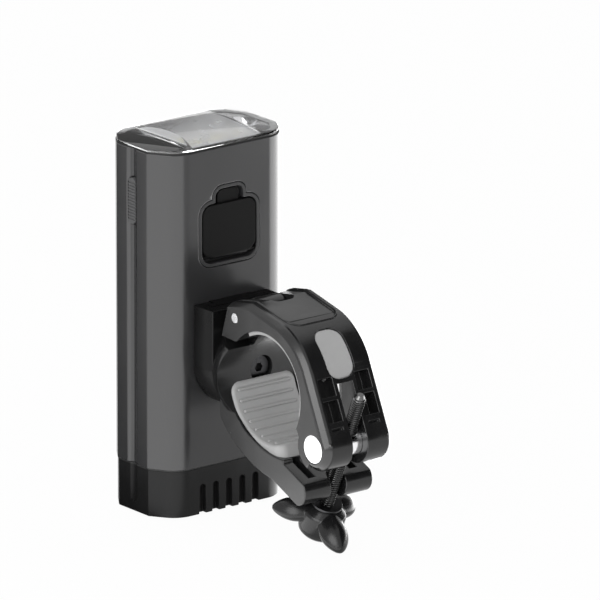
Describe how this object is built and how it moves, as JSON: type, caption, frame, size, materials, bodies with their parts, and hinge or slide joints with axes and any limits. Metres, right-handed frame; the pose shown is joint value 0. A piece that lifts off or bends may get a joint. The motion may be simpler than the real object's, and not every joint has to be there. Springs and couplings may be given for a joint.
{
  "type": "bicycle headlight",
  "caption": "Flat battery headlight with a clear lens on top, on a sliding and swivelling cradle above a hinged handlebar clamp that a three-lobed thumb screw draws shut.",
  "frame": {"origin": "handlebar axis in the middle of the clamp", "axes": "+X along the handlebar, +Y from the bar to the lamp, +Z the way the beam leaves"},
  "size_m": [0.0478, 0.0925, 0.1134],
  "materials": {
    "clamp_plastic": "satin moulded",
    "grip_rubber": "soft matt",
    "pin_steel": "turned bright",
    "screw_steel": "zinc plated",
    "knob_plastic": "gloss moulded",
    "black_steel": "blackened",
    "shell_metal": "anodised satin",
    "cap_plastic": "satin moulded",
    "seal_rubber": "matt",
    "lens_clear": "clear polished",
    "reflector_chrome": "metallised",
    "board_white": "solder mask",
    "emitter_yellow": "phosphor",
    "sink_metal": "extruded",
    "cell_wrap": "shrink wrap",
    "inner_plastic": "moulded",
    "board_green": "solder mask",
    "socket_steel": "plated",
    "frame_plastic": "satin moulded",
    "cover_rubber": "soft matt",
    "button_plastic": "ribbed"
  },
  "bodies": {
    "bracket": {"lower_jaw": "clamp_plastic", "jaw_pad": "grip_rubber", "hinge_pin": "pin_steel"},
    "arm": {"upper_arm": "clamp_plastic", "arm_liner": "grip_rubber"},
    "barrel": {"barrel_nut": "pin_steel"},
    "washer": {"thrust_washer": "screw_steel"},
    "thumb_screw": {"clamp_screw": "screw_steel", "knob": "knob_plastic"},
    "swivel": {"cradle": "clamp_plastic", "swivel_screw": "black_steel", "swivel_nut": "screw_steel"},
    "lamp": {"lamp_rail": "clamp_plastic", "rail_screws": "screw_steel", "body_shell": "shell_metal", "end_cap": "cap_plastic", "cap_seal": "seal_rubber", "cap_screws": "screw_steel", "lens_cover": "lens_clear", "lens_seal": "seal_rubber", "reflector": "reflector_chrome", "light_board_plate": "board_white", "light_emitters": "emitter_yellow", "heat_sink": "sink_metal", "cell_left": "cell_wrap", "cell_right": "cell_wrap", "battery_holder": "inner_plastic", "circuit_board_plate": "board_green", "charge_socket": "socket_steel", "supply_socket": "socket_steel", "port_frame": "frame_plastic", "button_switch": "inner_plastic"},
    "flap": {"port_cover": "cover_rubber"},
    "button": {"power_button": "button_plastic"}
  },
  "joints": [
    {"name": "arm_hinge", "type": "hinge", "parent": "bracket", "child": "arm", "pos_m": [0, 0.01385, 0.018], "axis": [-1, 0, 0], "range_deg": [0, 34]},
    {"name": "barrel_swing", "type": "hinge", "parent": "arm", "child": "barrel", "pos_m": [0, -0.0225, -0.0123], "axis": [-1, 0, 0], "range_deg": [-1, 120]},
    {"name": "screw_travel", "type": "slide", "parent": "barrel", "child": "washer", "axis": [0, -0.3923, 0.9198], "range_m": [-0.008, 0.0022]},
    {"name": "knob_spin", "type": "hinge", "parent": "washer", "child": "thumb_screw", "pos_m": [0, -0.0225, -0.0123], "axis": [0, -0.3923, 0.9198], "range_deg": [-4110, 1130]},
    {"name": "lamp_swivel", "type": "hinge", "parent": "bracket", "child": "swivel", "pos_m": [0, 0.0226, 0], "axis": [0, 1, 0], "range_deg": [-20, 20]},
    {"name": "lamp_slide", "type": "slide", "parent": "swivel", "child": "lamp", "axis": [0, 0, 1], "range_m": [0, 0.024]},
    {"name": "cover_hinge", "type": "hinge", "parent": "lamp", "child": "flap", "pos_m": [0, 0.0327, 0.0309], "axis": [1, 0, 0], "range_deg": [0, 95]},
    {"name": "button_press", "type": "slide", "parent": "lamp", "child": "button", "axis": [1, 0, 0], "range_m": [0, 0.0008], "stiffness_N_per_m": 3000}
  ],
  "couplings": [
    {"joint": "barrel_swing", "follows": "arm_hinge", "ratio": 3.5},
    {"joint": "screw_travel", "follows": "knob_spin", "m_per_rad": 0.00011141}
  ]
}
